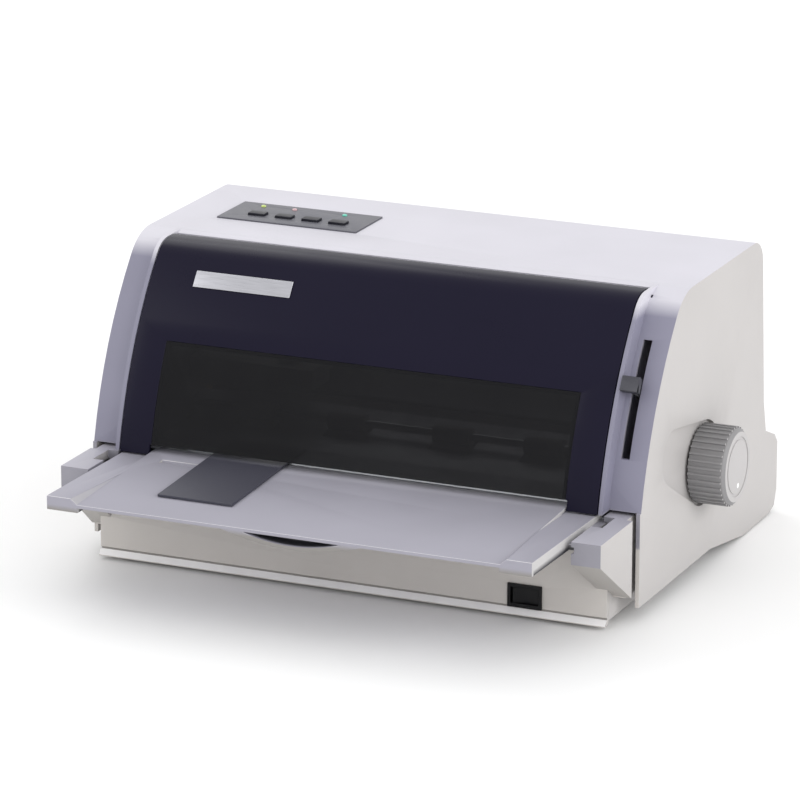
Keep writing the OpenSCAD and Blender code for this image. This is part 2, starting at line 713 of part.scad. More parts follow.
module front_cover() piece([0.15, 0.15, 0.20]) difference() {
    union() {
        along_x(-cover_half, cover_half) cover_band(0, cover_wall);
        both_sides() along_x(cover_half - cover_wall, cover_half) cover_band(1, 10);
        rod_x(-cover_half, cover_half, hinge_y, hinge_z, bead_r);
        rod_x(-opening_half - lip_t - 1, opening_half + lip_t + 1, hinge_y, hinge_z, cover_pin_r);
    }
    // pocket of the window pane, which rests on a ledge and is open at the foot between the legs
    intersection() {
        along_x(-window_half, window_half) cover_band(-1, pane_depth);
        box([-far, -far, 0], [far, crown_y, window_top_z]);
    }
    box([-window_half + ledge, -far, 0], [window_half - ledge, crown_y, window_top_z - ledge]);
    box([-surface_half - gap, -far, 0], [surface_half + gap, crown_y, cover_foot_z]);
}

module cover_window() piece([0.25, 0.25, 0.26, 0.5]) intersection() {
    along_x(-window_half + pane_play, window_half - pane_play) cover_band(0.3, pane_depth);
    box([-far, -far, cover_foot_z], [far, crown_y, window_top_z - pane_play]);
}

// Bare plate on the face of the cover.
module badge_plate() piece([0.80, 0.81, 0.83]) intersection() {
    along_x(badge_x - badge_w / 2, badge_x + badge_w / 2) cover_band(-0.8, 0);
    box([-far, -far, badge_z - badge_h / 2], [far, hinge_y - 10, badge_z + badge_h / 2]);
}

// ---------------------------------------------------------------- paper table

function table_at(y) = table_front_z
    + (table_rear_z - table_front_z) * (y + table_reach) / (table_reach + table_end_y);

module along_y(y0, y1) translate([0, y1, 0]) rotate([90, 0, 0]) linear_extrude(y1 - y0) children();

// Segment of a circle that hangs from its chord, w wide and h deep.
module half_lens(w, h) {
    r = (w * w + 4 * h * h) / (8 * h);
    edge = asin(w / 2 / r);
    polygon([for (k = [-16:16]) [r * sin(edge * k / 16), r - h - r * cos(edge * k / 16)]]);
}

// Right rim: a bar whose inner edge slopes down to the paper surface, until that has risen to the rim.
module rim() difference() {
    along_x(table_half - rim_w, table_half) polygon([
        [-table_reach, rim_top_z], [table_end_y, rim_rear_z],
        [table_end_y, rim_rear_z - rim_h], [-table_reach, rim_top_z - rim_h]]);
    translate([table_half - rim_top_w, -table_reach, rim_top_z]) rotate([table_slope, 0, 0])
        rotate([0, -atan2(rim_fall * cos(table_slope), rim_w - rim_top_w), 0])
            box([-2 * rim_w, -5, 0], [0, far, rim_w]);
}

// Right tongue, which runs in the groove of a shoulder of the given reach.
module tongue(reach) box([table_half - 1, rail_start - reach, rail_z],
    [table_half + rail_w, table_end_y, rail_z + rail_h]);

module paper_table() piece(table_grey) difference() {
    union() {
        along_x(-surface_half, surface_half) polygon([
            [-table_reach, table_front_z], [table_end_y, table_rear_z],
            [table_end_y, table_rear_z - table_t], [-table_reach, table_front_z - table_t]]);
        both_sides() rim();
        tongue(shoulder_reach);
        mirror([1, 0, 0]) tongue(left_shoulder_reach);
        // grip that hangs from the middle of the front lip
        along_y(-table_reach, -table_reach + grip_d)
            translate([grip_x, lip_z + 0.5]) half_lens(grip_w, grip_h);
    }
    along_y(-table_reach - 1, -table_reach + finger_slot_d)
        translate([grip_x, lip_z]) half_lens(finger_slot_w, finger_slot_h);
    box([peg_x - guide_travel - peg_r - run, guide_slot_y - peg_r - run, 0],
        [peg_x + peg_r + run, guide_slot_y + peg_r + run, far]);
}

module paper_guide() piece(dark_grey) {
    along_x(guide_x, guide_x + guide_w) polygon([
        [guide_front_y, table_at(guide_front_y) + run], [table_end_y, table_rear_z + run],
        [guide_end_y, path_at(guide_end_y) + run + 0.4], [guide_end_y, path_at(guide_end_y) + run + guide_t],
        [table_end_y, table_rear_z + run + guide_t],
        [guide_front_y, table_at(guide_front_y) + run + guide_t]]);
    translate([peg_x, guide_slot_y, 0]) {
        translate([0, 0, peg_low_z]) cylinder(r = peg_r, h = table_at(guide_slot_y) + 1 - peg_low_z);
        translate([0, 0, peg_low_z]) cylinder(r = 2 * peg_r, h = 1.4);
    }
}

// ---------------------------------------------------------------- control panel and power switch

// Block under the outline of the control panel, grown by g on each side.
module panel_block(g, z0, z1) translate([panel_x, panel_y, 0])
    box([-panel_w / 2 - g, -panel_d / 2 - g, z0], [panel_w / 2 + g, panel_d / 2 + g, z1]);

// Places at the four corners of the control panel, g outside them.
module panel_corners(g) for (x = [-1, 1], y = [-1, 1])
    translate([panel_x + x * (panel_w / 2 + g), panel_y + y * (panel_d / 2 + g), 0]) children();

module control_panel() piece([0.52, 0.52, 0.55]) difference() {
    union() {
        panel_block(0, case_h - panel_seat, case_h + panel_proud);
        panel_block(-panel_rim - run, panel_low_z, case_h);
    }
    for (x = button_x) translate([x, button_y, 0]) button_block(run, 0, far);
    for (x = led_x) translate([x, led_y, 0]) cylinder(r = led_r + fit, h = far);
}

// Block under the outline of a button's cap, grown by g on each side.
module button_block(g, z0, z1)
    box([-button_w / 2 - g, -button_d / 2 - g, z0], [button_w / 2 + g, button_d / 2 + g, z1]);

module indicator_lenses() piece([0.55, 0.85, 0.45]) for (x = led_x) translate([x, led_y, panel_board_top])
    cylinder(r = led_r, h = case_h + panel_proud + 0.2 - panel_board_top);

module panel_board() piece([0.10, 0.35, 0.18]) {
    panel_block(4, panel_board_z, panel_board_top);
    // switches under the buttons, each open at the top for the button's stem
    for (x = button_x) translate([x, button_y, panel_board_top]) difference() {
        box([-3, -3, -0.1], [3, 3, switch_top]);
        translate([0, 0, switch_top - stem_depth - button_travel]) cylinder(r = stem_r + 0.2, h = switch_top);
    }
}

// The stem reaches into its switch and stays clear of the bottom over the whole travel.
module button(k) piece([0.16, 0.16, 0.20]) translate([button_x[k], button_y, 0]) {
    button_block(0, button_flange_z, button_top_z);
    button_block(1.2, button_flange_z - 1.5, button_flange_z);
    translate([0, 0, panel_board_top + switch_top - stem_depth + run])
        cylinder(r = stem_r, h = button_flange_z - panel_board_top - switch_top + stem_depth - run - 1);
}

module button_1() button(0);
module button_2() button(1);
module button_3() button(2);
module button_4() button(3);

module switch_housing() piece(black) translate([switch_x, -base_reach, switch_z]) difference() {
    union() {
        box([-switch_w / 2, -1.2, -switch_h / 2], [switch_w / 2, 0, switch_h / 2]);
        box([-switch_w / 2 + 1.1, -0.5, -switch_h / 2 + 1.1], [switch_w / 2 - 1.1, 14, switch_h / 2 - 1.1]);
    }
    box([-switch_w / 2 + 1.9, -3, -rocker_h / 2 - run], [switch_w / 2 - 1.9, 11, rocker_h / 2 + run]);
    translate([0, rocker_pivot, -switch_h]) cylinder(r = rocker_pin_r + fit, h = 2 * switch_h);
}

// The rocker rests pressed in at its right end.
module power_rocker() piece([0.13, 0.13, 0.14]) translate([switch_x, -base_reach + rocker_pivot, switch_z])
    rotate([0, 0, rocker_deg]) {
        translate([0, 0, -rocker_h / 2]) linear_extrude(rocker_h) polygon([[-rocker_half, -5.4], [0, -4.2],
            [rocker_half, -5.4], [rocker_half, -1.5], [3, 3], [-3, 3], [-rocker_half, -1.5]]);
        translate([0, 0, -switch_h / 2 + 1.1]) cylinder(r = rocker_pin_r, h = switch_h - 2.2);
    }

// ---------------------------------------------------------------- inner frame

module foot_flange() box([frame_half, frame_front_y, frame_foot_z],
    [frame_half + flange_w, frame_rear_y, frame_foot_z + frame_t]);

// Bores that both side frames have.
module frame_bores() {
    module bore(y, z, r) rod_x(frame_half - 1, frame_half + frame_t + 1, y, z, r);
    bore(platen_y, platen_z, bush_r + 0.02);
    bore(feed_y, feed_z, shaft_r + fit);
    bore(feed_y, pinch_z, pinch_shaft_r + fit);
    bore(rod_y, rod_z, rod_r + 0.02);
}

module side_frame() difference() {
    union() {
        along_x(frame_half, frame_half + frame_t) frame_plate();
        foot_flange();
    }
    frame_bores();
}

module right_frame() piece(steel) side_frame();

module left_frame() piece(steel) {
    difference() {
        mirror([1, 0, 0]) side_frame();
        rod_x(-frame_half - frame_t - 1, -frame_half + 1, pinion_y, pinion_z, motor_boss_r);
    }
    // stud of the idler gear
    rod_x(shaft_end_x, -frame_half - frame_t + 0.1, idler_y, idler_z, stud_r);
}

// Folded sheet that ties the two frames together at the front.
module front_stay() piece(steel) {
    box([-frame_half, stay_y, stay_z], [frame_half, stay_y + sheet, stay_z + stay_h]);
    box([-frame_half, stay_y, stay_z], [frame_half, stay_y + stay_d, stay_z + sheet]);
}

module guide_rod() piece([0.80, 0.81, 0.83])
    rod_x(-frame_half - frame_t - 1, frame_half + frame_t + 1, rod_y, rod_z, rod_r);

module carriage_rail() piece(steel) difference() {
    union() {
        box([-frame_half, web_y, rod_z - 14], [frame_half, web_y + sheet, rail_z0 + sheet]);
        box([-frame_half, web_y, rail_z0], [frame_half, web_y + rail_d, rail_z0 + sheet]);
        rod_y(belt_y - 1.5, web_y + 0.1, -pulley_x, rod_z, stud_r);
    }
    rod_y(web_y - 1, web_y + sheet + 1, pulley_x, rod_z, motor_boss_r);
}

module path_plate() piece([0.66, 0.67, 0.70]) difference() {
    along_x(-frame_half, frame_half) polygon([
        [path_y[0], path_z[0]], [path_y[1], path_z[1]], [path_y[2], path_z[2]],
        [path_y[2], path_z[2] - path_t], [path_y[1], path_z[1] - path_t], [path_y[0], path_z[0] - path_t]]);
    for (x = roller_x) box([x - roller_w / 2 - 1.5, feed_y - feed_r - 2, 0],
        [x + roller_w / 2 + 1.5, feed_y + feed_r + 2, far]);
}

// Plate that carries the paper from the platen to the exit.
module rear_path_plate() piece([0.66, 0.67, 0.70]) {
    top = [[platen_y + platen_r + 2, platen_z + platen_r - 1.5], [rod_y + 10, exit_z - 2],
        [frame_rear_y - 4, exit_z - 0.6]];
    along_x(-frame_half, frame_half) polygon(concat(top, reversed([for (p = top) p - [0, path_t]])));
}

// Black side walls seen through the window.
module inner_shroud() piece(black) both_sides() {
    r = cover_r - cover_wall - 5;
    along_x(window_half + 1, window_half + 3.5) polygon(concat(
        arc(front_c, r, foot_angle(r, shroud_z), foot_angle(r, window_top_z - 3), 5),
        [[shroud_rear_y, shroud_z + 1], [shroud_rear_y, shroud_z]]));
    box([window_half + 3, shroud_rear_y - 18, shroud_z], [frame_half, shroud_rear_y, shroud_z + 2]);
}

// ---------------------------------------------------------------- carriage

module carriage_motor() piece([0.25, 0.25, 0.27]) difference() {
    rod_y(web_y + sheet, web_y + sheet + motor_len, pulley_x, rod_z, 17);
    rod_y(web_y + sheet - 1, web_y + sheet + motor_len - 3, pulley_x, rod_z, motor_shaft_r + fit);
}

// Belt wheel with its two flanges, at x, reaching back to y1.
module pulley(x) {
    rod_y(belt_y - 1.1, belt_y + belt_w + 1.1, x, rod_z, pulley_r - 0.1);
    rod_y(belt_y - 1.1, belt_y - run, x, rod_z, pulley_r + belt_t);
    rod_y(belt_y + belt_w + run, belt_y + belt_w + 1.1, x, rod_z, pulley_r + belt_t);
}

module drive_pulley() piece(zinc) {
    pulley(pulley_x);
    rod_y(belt_y - 1.1, web_y + sheet + motor_len - 4, pulley_x, rod_z, motor_shaft_r);
}

module idler_pulley() piece(zinc) difference() {
    pulley(-pulley_x);
    rod_y(belt_y - 3, web_y + 1, -pulley_x, rod_z, stud_r + fit);
}

module belt_loop(r) {
    translate([-pulley_x, rod_z]) circle(r = r);
    translate([pulley_x, rod_z]) circle(r = r);
    translate([-pulley_x, rod_z - r]) square([2 * pulley_x, 2 * r]);
}

module timing_belt() piece(black) along_y(belt_y, belt_y + belt_w) difference() {
    belt_loop(pulley_r + belt_t);
    belt_loop(pulley_r);
}

module on_carriage() translate([-park_x, 0, 0]) children();

module carriage_body() piece([0.20, 0.20, 0.22]) on_carriage() difference() {
    union() {
        box([-carriage_w / 2, rod_y - 9, rod_z - 9], [carriage_w / 2, rod_y + 9, rod_z + 9]);
        box([-carriage_w / 2 + 2, plate_front_y, plate_z], [carriage_w / 2 - 2, rod_y - 9, plate_z + 4]);
        box([-carriage_w / 2 + 2, rod_y - 15, plate_z], [carriage_w / 2 - 2, rod_y - 8, rod_z + 9]);
        // shoe on the rear rail
        box([-14, rod_y + 3, rod_z], [14, rod_y + 9, rail_z0 + sheet + run + 3]);
        box([-14, rod_y + 3, rail_z0 + sheet + run], [14, web_y + rail_d - 1, rail_z0 + sheet + run + 3]);
        // clamp round the upper run of the belt
        box([-8, rod_y + 8, rod_z + pulley_r - 3], [8, web_y - 0.5, rod_z + pulley_r + belt_t + 3]);
    }
    rod_x(-carriage_w, carriage_w, rod_y, rod_z, rod_r + fit);
    box([-9, belt_y - 0.2, rod_z + pulley_r - 0.2], [9, web_y, rod_z + pulley_r + belt_t + 0.2]);
    box([-8, platen_y - 8, plate_z - 1], [8, platen_y + 8, plate_z + 5]);
}

module print_head() piece([0.45, 0.46, 0.48]) on_carriage() difference() {
    union() {
        box([-head_half, platen_y - 13, plate_z + 4], [head_half, platen_y + 13, plate_z + 28]);
        // nose with the print wires
        along_x(-5, 5) polygon([[platen_y - 4, nose_z], [platen_y + 4, nose_z],
            [platen_y + 7, plate_z + 5], [platen_y - 7, plate_z + 5]]);
    }
    // cooling fins
    for (k = [0:4]) box([-head_half + 3 + 6.4 * k, platen_y - 14, plate_z + 14],
        [-head_half + 6 + 6.4 * k, platen_y + 14, plate_z + 29]);
}

module ribbon_cartridge() piece([0.12, 0.12, 0.13]) on_carriage() {
    box([-ribbon_w / 2, plate_front_y, plate_z + 4], [ribbon_w / 2, platen_y - 14, plate_z + 17]);
    // arms that lead the ribbon past the head
    both_sides() box([head_half + 2, platen_y - 15, plate_z + 4],
        [carriage_w / 2 - 3, platen_y + 8, plate_z + 9]);
    translate([ribbon_w / 4, (plate_front_y + platen_y - 14) / 2, plate_z + 16.9]) cylinder(r = 7, h = 3);
}

// ---------------------------------------------------------------- platen and paper feed

module platen_roller() piece([0.10, 0.10, 0.11]) difference() {
    rod_x(-platen_len / 2, platen_len / 2, platen_y, platen_z, platen_r);
    rod_x(-platen_len / 2 - 1, platen_len / 2 + 1, platen_y, platen_z, shaft_r);
}

module platen_shaft() piece([0.80, 0.81, 0.83])
    rod_x(shaft_end_x, knob_in + knob_bore, platen_y, platen_z, shaft_r);

module platen_knob() piece([0.80, 0.79, 0.79]) difference() {
    union() {
        rod_x(knob_in, knob_out - 2, platen_y, platen_z, knob_r - 1);
        translate([knob_out - 2, platen_y, platen_z]) rotate([0, 90, 0])
            cylinder(r1 = knob_r - 1, r2 = knob_r - 3, h = 2);
        along_x(knob_in, knob_out - 2.5) translate([platen_y, platen_z]) for (k = [1:knob_ribs])
            rotate(360 / knob_ribs * k) translate([knob_r - 2, -0.7]) square([2, 1.4]);
    }
    rod_x(knob_in - 1, knob_in + knob_bore, platen_y, platen_z, shaft_r);
    // shallow ring and spot on the face
    translate([knob_out - 0.6, platen_y, platen_z]) rotate([0, 90, 0]) difference() {
        cylinder(r = knob_r - 6, h = 2);
        translate([0, 0, -1]) cylinder(r = knob_r - 8, h = 4);
    }
}

module platen_bushes() piece([0.72, 0.55, 0.25]) both_sides() difference() {
    union() {
        rod_x(frame_half - 2, frame_half + frame_t + 1.9, platen_y, platen_z, bush_r);
        rod_x(frame_half - 2, frame_half, platen_y, platen_z, bush_r + 2);
    }
    rod_x(frame_half - 3, frame_half + 6, platen_y, platen_z, shaft_r + fit);
}

gear_white = [0.90, 0.89, 0.84];

module platen_gear() piece(gear_white) gear(platen_teeth, platen_y, platen_z, shaft_r, platen_phase);
module idler_gear() piece(gear_white) gear(idler_teeth, idler_y, idler_z, stud_r + fit, idler_phase);
module feed_gear() piece(gear_white) gear(idler_teeth, feed_y, feed_z, shaft_r, feed_phase);

module motor_pinion() piece([0.72, 0.55, 0.25]) {
    gear(pinion_teeth, pinion_y, pinion_z, motor_shaft_r, pinion_phase);
    rod_x(gear_x - gear_w - 1, -frame_half + motor_len - 4, pinion_y, pinion_z, motor_shaft_r);
}

module feed_motor() piece([0.25, 0.25, 0.27]) difference() {
    rod_x(-frame_half, -frame_half + motor_len, pinion_y, pinion_z, motor_r);
    rod_x(-frame_half - 1, -frame_half + motor_len - 3, pinion_y, pinion_z, motor_shaft_r + fit);
}

module feed_shaft() piece(steel) rod_x(shaft_end_x, frame_half + frame_t + 3, feed_y, feed_z, shaft_r);

module feed_rollers() piece([0.12, 0.12, 0.13]) for (x = roller_x) difference() {
    rod_x(x - roller_w / 2, x + roller_w / 2, feed_y, feed_z, feed_r);
    rod_x(x - roller_w, x + roller_w, feed_y, feed_z, shaft_r);
}

module pinch_shaft() piece(steel)
    rod_x(-frame_half - frame_t - 1.5, frame_half + frame_t + 1.5, feed_y, pinch_z, pinch_shaft_r);

module pinch_rollers() piece([0.12, 0.12, 0.13]) for (x = roller_x) difference() {
    rod_x(x - roller_w / 2, x + roller_w / 2, feed_y, pinch_z, pinch_r);
    rod_x(x - roller_w, x + roller_w, feed_y, pinch_z, pinch_shaft_r);
}

// ---------------------------------------------------------------- gap lever

module lever_pin() piece(zinc) {
    rod_x(frame_half + frame_t, lever_x - lever_t / 2 - 0.3, lever_pivot.x, lever_pivot.y, lever_pin_r + 2);
    rod_x(frame_half + frame_t, lever_x + lever_t / 2 + 1.5, lever_pivot.x, lever_pivot.y, lever_pin_r);
}

module gap_lever() piece([0.45, 0.45, 0.48]) difference() {
    union() {
        rod_x(lever_x - lever_t / 2, lever_x + lever_t / 2, lever_pivot.x, lever_pivot.y, lever_pin_r + 4);
        translate([0, lever_pivot.x, lever_pivot.y]) rotate([lever_deg + lever_rest, 0, 0]) {
            box([lever_x - lever_t / 2, 0, -3], [lever_x + lever_t / 2, lever_reach + 4, 3]);
            box([lever_x - cap_w / 2, lever_reach + 1.5, -4.5],
                [lever_x + cap_w / 2, lever_reach + 6.5, 4.5]);
        }
    }
    rod_x(lever_x - 5, lever_x + 5, lever_pivot.x, lever_pivot.y, lever_pin_r + fit);
}

// ---------------------------------------------------------------- electronics

// Bare circuit board between two points, with its components as children placed from its left front corner.
module circuit_board(low, high) {
    box(concat(low, board_z), concat(high, board_z + board_t));
    translate(concat(low, board_z + board_t - 0.1)) children();
}

module component(at, size) translate(at) cube(size);

module main_board() piece([0.10, 0.35, 0.18]) circuit_board(main_board_low, main_board_high) {
    component(processor_at, processor_size);
    component(memory_at, memory_size);
    component(socket_at, socket_size);
}

module power_supply() piece([0.30, 0.28, 0.20]) circuit_board(supply_low, supply_high) {
    component(transformer_at, transformer_size);
    component(heat_sink_at, heat_sink_size);
    for (x = capacitor_x) translate([x, capacitor_y, 0]) cylinder(r = capacitor_r, h = capacitor_h);
}

// Socket body with a flange behind the case wall and three blades inside.
module power_inlet() piece(black) translate([inlet_x, skirt_y, inlet_z]) difference() {
    union() {
        box([-inlet_w / 2, -22, -inlet_h / 2], [inlet_w / 2, 0, inlet_h / 2]);
        box([-inlet_w / 2 - 3.5, -case_wall - 2, -inlet_h / 2 - 3.5],
            [inlet_w / 2 + 3.5, -case_wall, inlet_h / 2 + 3.5]);
    }
    difference() {
        box([-inlet_w / 2 + 1.5, -16, -inlet_h / 2 + 2], [inlet_w / 2 - 1.5, 1, inlet_h / 2 - 2]);
        for (p = [[-7, -2], [0, 2], [7, -2]]) box([p.x - 1, -17, p.y - 2], [p.x + 1, -3, p.y + 2]);
    }
}

// Shell in the case wall, with a tongue of contacts inside and a block that stands on the main board.
module data_port() piece([0.20, 0.20, 0.22]) translate([port_x, skirt_y, port_z]) difference() {
    union() {
        box([-port_w / 2, -6, -port_h / 2], [port_w / 2, 0, port_h / 2]);
        box([-port_w / 2, -60, -port_h / 2 - 0.2], [port_w / 2, -5, 6]);
    }
    difference() {
        box([-port_w / 2 + 4.8, -9, -5.6], [port_w / 2 - 4.8, 1, 5.6]);
        box([-port_w / 2 + 7.8, -10, -1], [port_w / 2 - 7.8, -1.5, 1]);
    }
}

// ---------------------------------------------------------------- drawing

upper_case();
lower_case();
front_cover();
cover_window();
badge_plate();
paper_table();
paper_guide();
control_panel();
indicator_lenses();
panel_board();
button_1();
button_2();
button_3();
button_4();
switch_housing();
power_rocker();
left_frame();
right_frame();
front_stay();
path_plate();
rear_path_plate();
inner_shroud();
guide_rod();
carriage_rail();
carriage_motor();
drive_pulley();
idler_pulley();
timing_belt();
carriage_body();
print_head();
ribbon_cartridge();
platen_roller();
platen_shaft();
platen_knob();
platen_bushes();
platen_gear();
idler_gear();
feed_gear();
feed_shaft();
feed_rollers();
pinch_shaft();
pinch_rollers();
feed_motor();
motor_pinion();
gap_lever();
lever_pin();
main_board();
power_supply();
power_inlet();
data_port();
rubber_feet();
case_screws();
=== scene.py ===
# %% [markdown]
# # A desk-top dot matrix printer
# The printer's solids come ready made, in metres, with +Z up and its front facing -Y. This lesson gives
# them their finishes, rounds their moulded edges and puts a low dome on each lamp, which CAD leaves flat.

import math

import bmesh
import bpy
from mathutils import Matrix, Vector


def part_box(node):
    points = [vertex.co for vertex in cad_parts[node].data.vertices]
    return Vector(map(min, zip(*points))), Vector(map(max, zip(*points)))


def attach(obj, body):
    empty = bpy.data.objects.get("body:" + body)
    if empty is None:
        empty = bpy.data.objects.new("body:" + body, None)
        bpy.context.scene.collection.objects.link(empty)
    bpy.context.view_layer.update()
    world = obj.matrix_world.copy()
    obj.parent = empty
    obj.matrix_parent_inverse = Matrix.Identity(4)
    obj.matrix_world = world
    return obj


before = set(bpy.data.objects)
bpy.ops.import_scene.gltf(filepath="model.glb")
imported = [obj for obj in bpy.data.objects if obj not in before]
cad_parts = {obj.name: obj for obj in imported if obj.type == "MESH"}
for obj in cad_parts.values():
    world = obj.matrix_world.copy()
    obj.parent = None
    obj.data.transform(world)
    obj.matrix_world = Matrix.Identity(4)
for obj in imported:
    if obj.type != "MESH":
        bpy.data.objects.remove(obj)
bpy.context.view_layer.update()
MM = 0.001

# %% [markdown]
# ## The camera
# The photograph looks down a little from the right of the front, from far away: the long edges hardly
# converge. A long lens at three metres gives the same view. The aim point is a place inside the case.

# %% Camera
AZIMUTH = math.radians(23.8)
ELEVATION = math.radians(16.8)
DISTANCE = 2.993
AIM = Vector((8.7, -51.75, 114.8)) * MM
LENS = 225              # in millimetres, as the sensor's width is
SENSOR_WIDTH = 36
FARTHEST = 50           # the camera sees nothing past this many metres

towards = Vector((math.sin(AZIMUTH) * math.cos(ELEVATION), -math.cos(AZIMUTH) * math.cos(ELEVATION),
                  math.sin(ELEVATION)))
camera = bpy.data.objects.new("camera", bpy.data.cameras.new("camera"))
camera.data.lens = LENS
camera.data.sensor_width = SENSOR_WIDTH
camera.data.clip_end = FARTHEST
camera.location = AIM + towards * DISTANCE
camera.rotation_euler = towards.to_track_quat("Z", "Y").to_euler()
bpy.context.scene.collection.objects.link(camera)
bpy.context.scene.camera = camera
print("camera at", [round(c, 3) for c in camera.location])

# %% [markdown]
# ## A studio of light
# The photograph is lit almost evenly from all round, on white, with one soft shadow. An even white sky
# over a white floor gives that. A soft box at the right gives the bright side, two at the left open the
# shadow there, and a weak one at the right of the front lifts the right cheek. None of them stands where
# the smoked window would mirror it. The works behind the window get their light through the paper slots;
# a very weak strip of light under the top stands in for what finds its way in there.

# %% Sky, lamps and floor
SKY = (1, 1, 1, 1)
SKY_STRENGTH = 0.96
scene = bpy.context.scene
scene.view_settings.view_transform = "Standard"
sky = bpy.data.worlds.new("sky")
sky.use_nodes = True
sky.node_tree.nodes["Background"].inputs["Color"].default_value = SKY
sky.node_tree.nodes["Background"].inputs["Strength"].default_value = SKY_STRENGTH
scene.world = sky


def soft_box(name, place, size, watts, target=AIM):
    """A white rectangle of light, size (width, height) in metres, that faces its target."""
    lamp = bpy.data.lights.new(name, "AREA")
    lamp.shape = "RECTANGLE"
    lamp.size, lamp.size_y = size
    lamp.energy = watts
    holder = bpy.data.objects.new(name, lamp)
    holder.location = place
    holder.rotation_euler = (Vector(place) - Vector(target)).to_track_quat("Z", "Y").to_euler()
    scene.collection.objects.link(holder)


soft_box("box_right", (2.0, 0, 0.8), (1.0, 1.0), 12)
soft_box("box_right_front", (1.6, -1.6, 1.0), (1.0, 1.0), 5)
soft_box("box_left", (-1.8, -1.2, 0.9), (1.0, 1.0), 5.5)
soft_box("box_left_behind", (-1.2, 1.0, 1.6), (1.2, 1.2), 7)
soft_box("strip_inside", (-0.011, 0.045, 0.150), (0.28, 0.05), 0.10, target=(-0.011, 0.065, 0))

FLOOR_SIZE = 30
floor_mesh = bmesh.new()
bmesh.ops.create_grid(floor_mesh, x_segments=1, y_segments=1, size=FLOOR_SIZE / 2)
floor = bpy.data.objects.new("floor", bpy.data.meshes.new("floor"))
floor_mesh.to_mesh(floor.data)
floor_mesh.free()
scene.collection.objects.link(floor)

# %% [markdown]
# ## Shader maths in plain Python
# A finish is a small network of nodes, and its patterns are sums. One class wraps a socket, so that such
# a sum can be written as it is on paper, and each sign in it adds its Math node.


# %% Sockets as numbers
class Socket:
    """One output of a shader node. Sums and products with it add Math nodes."""

    def __init__(self, finish, output):
        self.finish = finish
        self.output = output

    def maths(self, operation, first, second):
        return self.finish.node("ShaderNodeMath", {"operation": operation}, {0: first, 1: second})

    def __add__(self, other):
        return self.maths("ADD", self, other)

    __radd__ = __add__

    def __sub__(self, other):
        return self.maths("SUBTRACT", self, other)

    def __rsub__(self, other):
        return self.maths("SUBTRACT", other, self)

    def __mul__(self, other):
        return self.maths("MULTIPLY", self, other)

    __rmul__ = __mul__

    def __gt__(self, other):
        return self.maths("GREATER_THAN", self, other)


print("made:", Socket.__name__)

# %% [markdown]
# ## One finish, one shader
# Every finish on the printer is one principled shader with a few patterns in front of it. One method adds
# any node from its settings and its inputs; the others are the few patterns that plastic and metal need.


# %% A finish
class Finish:
    """A material being built round its one principled shader."""

    def __init__(self, name, **values):
        self.material = bpy.data.materials.new(name)
        self.material.use_nodes = True
        self.tree = self.material.node_tree
        self.shader = self.tree.nodes["Principled BSDF"]
        self.place = self.node("ShaderNodeTexCoord", output="Object")
        self.set(**values)

    def node(self, kind, settings=None, inputs=None, output=0):
        """Adds a node; its settings come first, because they decide which inputs it has."""
        made = self.tree.nodes.new(kind)
        for key, value in (settings or {}).items():
            setattr(made, key, value)
        for key, value in (inputs or {}).items():
            self.feed(made.inputs[key], value)
        return Socket(self, made.outputs[output])

    def feed(self, target, value):
        """Links a socket to the target, or writes a value into it."""
        if isinstance(value, Socket):
            self.tree.links.new(value.output, target)
        elif hasattr(value, "__len__") and len(value) == 3 and target.type == "RGBA":
            target.default_value = (*value, 1)
        else:
            target.default_value = value

    def set(self, **values):
        """Feeds the shader's sockets: set(base_color=..., coat_weight=...)."""
        for key, value in values.items():
            self.feed(self.shader.inputs[key.replace("_", " ").title().replace("Ior", "IOR")], value)

    def noise(self, size, detail, stretch=(1, 1, 1)):
        """Noise with features about size metres across, from 0 to 1."""
        place = self.place
        if stretch != (1, 1, 1):
            place = self.node("ShaderNodeMapping", None, {"Vector": place, "Scale": stretch})
        return self.node("ShaderNodeTexNoise", None, {"Vector": place, "Scale": 1 / size, "Detail": detail})

    def span(self, value, low, high, to_low=0.0, to_high=1.0):
        """value from low..high mapped to to_low..to_high, clamped."""
        return self.node("ShaderNodeMapRange", None,
                         {"Value": value, "From Min": low, "From Max": high, "To Min": to_low,
                          "To Max": to_high})

    def mix(self, share, first, second):
        """Colour between first and second by share."""
        return self.node("ShaderNodeMix", {"data_type": "RGBA"}, {0: share, 6: first, 7: second}, output=2)

    def tint(self, colour, factor):
        """colour times a number from 0 to 1."""
        return self.node("ShaderNodeVectorMath", {"operation": "SCALE"}, {0: colour, "Scale": factor})

    def bump(self, height, depth):
        return self.node("ShaderNodeBump", None, {"Height": height, "Distance": depth})

    def axis(self, name, vector=None):
        """One coordinate of a vector, the place on the piece by default."""
        return self.node("ShaderNodeSeparateXYZ", None, {0: vector or self.place}, output=name)


def shade(colour, factor):
    return tuple(c * factor for c in colour)


print("a finish is built with:", [name for name in vars(Finish) if not name.startswith("_")])

# %% [markdown]
# ## Moulded plastic
# The printer is almost all injection moulded. Its moulds are spark eroded, which leaves a fine, dull
# grain; handling and age add slow changes of tone. Both come from noise in real sizes: a grain of half
# a millimetre for the bump, and patches of a few centimetres for tone and gloss.

# %% Moulded plastic
NOISE_RANGE = (0.3, 0.7)        # where most of a noise's values lie
PATCH_SIZE = 45 * MM
PATCH_DETAIL = 3
GRAIN_DETAIL = 2
GRAIN_IN_GLOSS = 0.4            # how much of the fine grain the gloss follows
GLOSS_RANGE = (0.4, 1.0)
GLOSS_SWING = 0.05              # roughness, up and down


